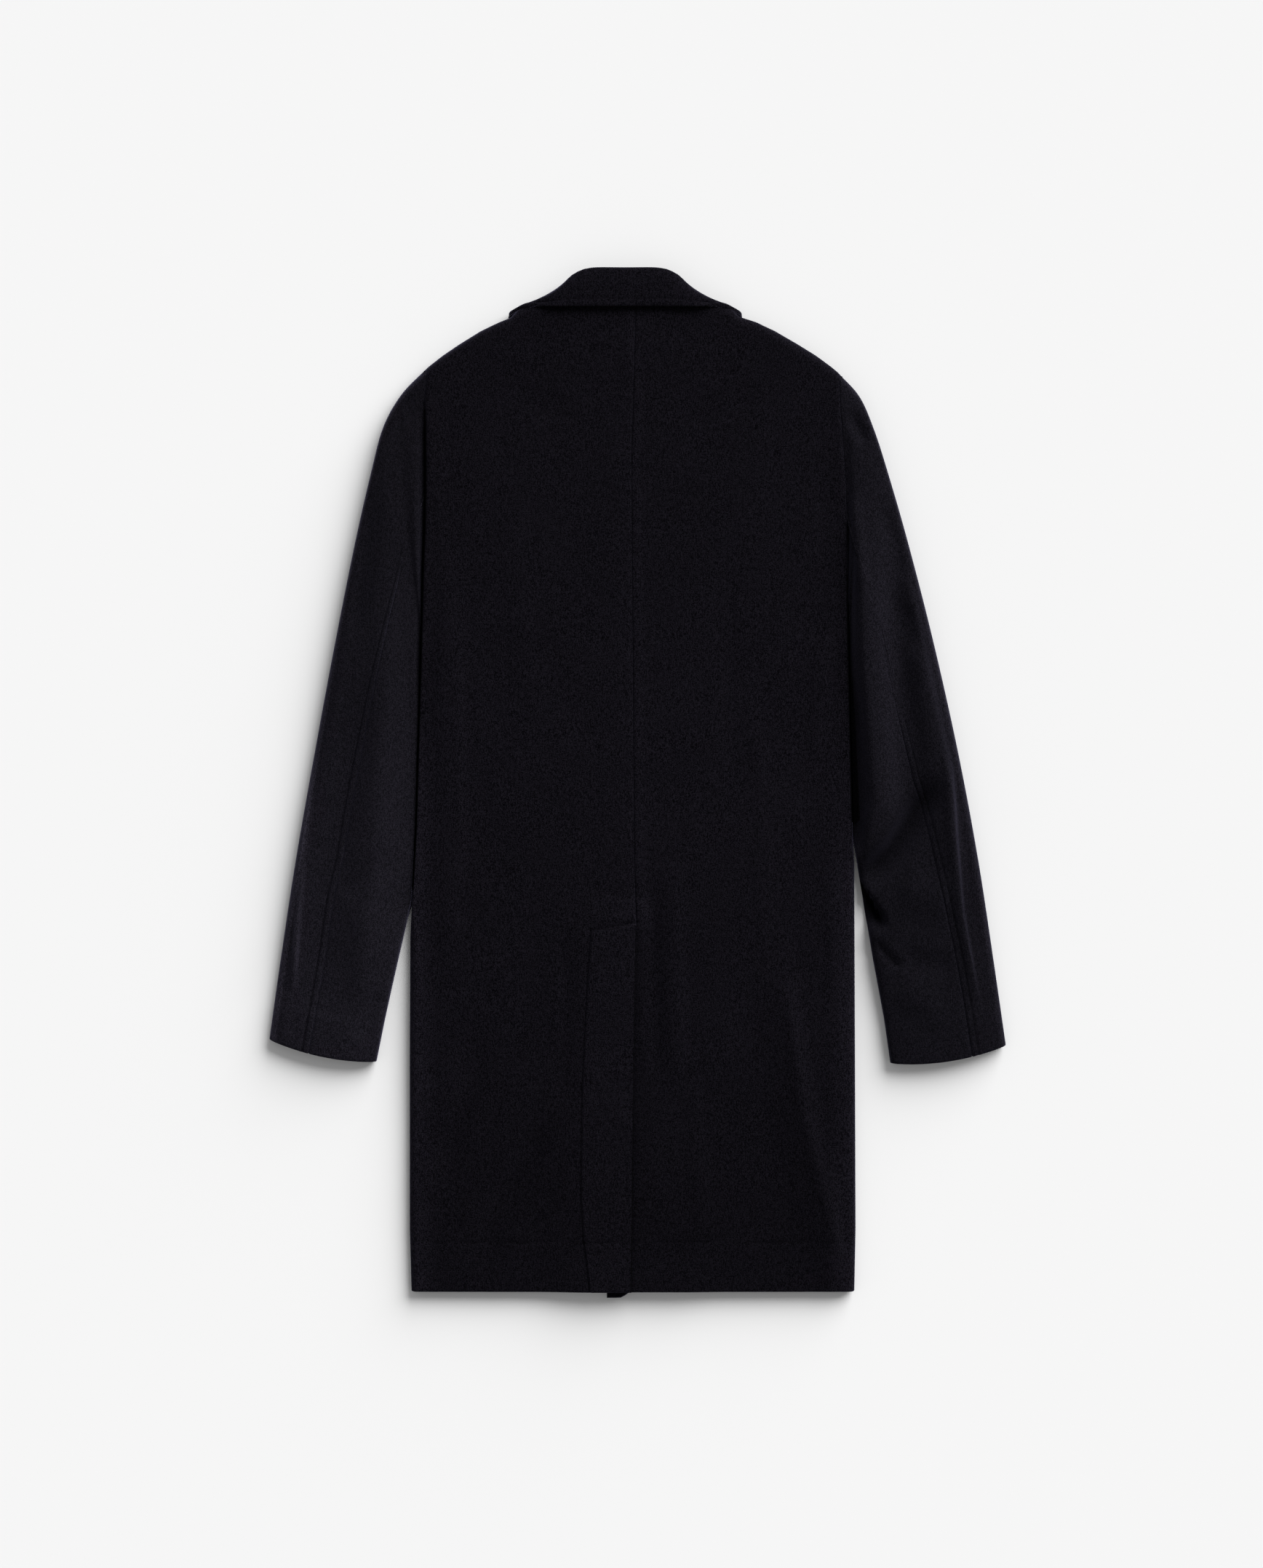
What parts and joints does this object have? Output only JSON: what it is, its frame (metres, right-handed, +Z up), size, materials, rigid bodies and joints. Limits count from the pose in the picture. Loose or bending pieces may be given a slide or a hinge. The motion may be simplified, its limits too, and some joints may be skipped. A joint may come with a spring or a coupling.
{
  "type": "wool overcoat",
  "caption": "Dark wool overcoat laid flat on its front with its back up, with set-in sleeves, a folded collar, a centre back seam and a back vent.",
  "frame": {"origin": "on the surface that the coat lies on, under the middle of its outline: midway between the cuffs' outer corners, and midway between the collar's fold and the hem", "axes": "+Y along the centre back towards the collar; +X towards the sleeve on the wearer's right; +Z up, out of the coat's back"},
  "size_m": [0.7174, 1.0043, 0.025],
  "materials": {
    "wool": "dark navy wool coating, matt with a short nap",
    "button": "dark navy, satin"
  },
  "bodies": {
    "root": {"back_left": "wool", "back_right": "wool", "front_left": "wool", "front_right": "wool", "sleeve_left_top": "wool", "sleeve_left_under": "wool", "sleeve_right_top": "wool", "sleeve_right_under": "wool", "collar": "wool", "button_1": "button", "button_2": "button", "button_3": "button"}
  },
  "joints": []
}
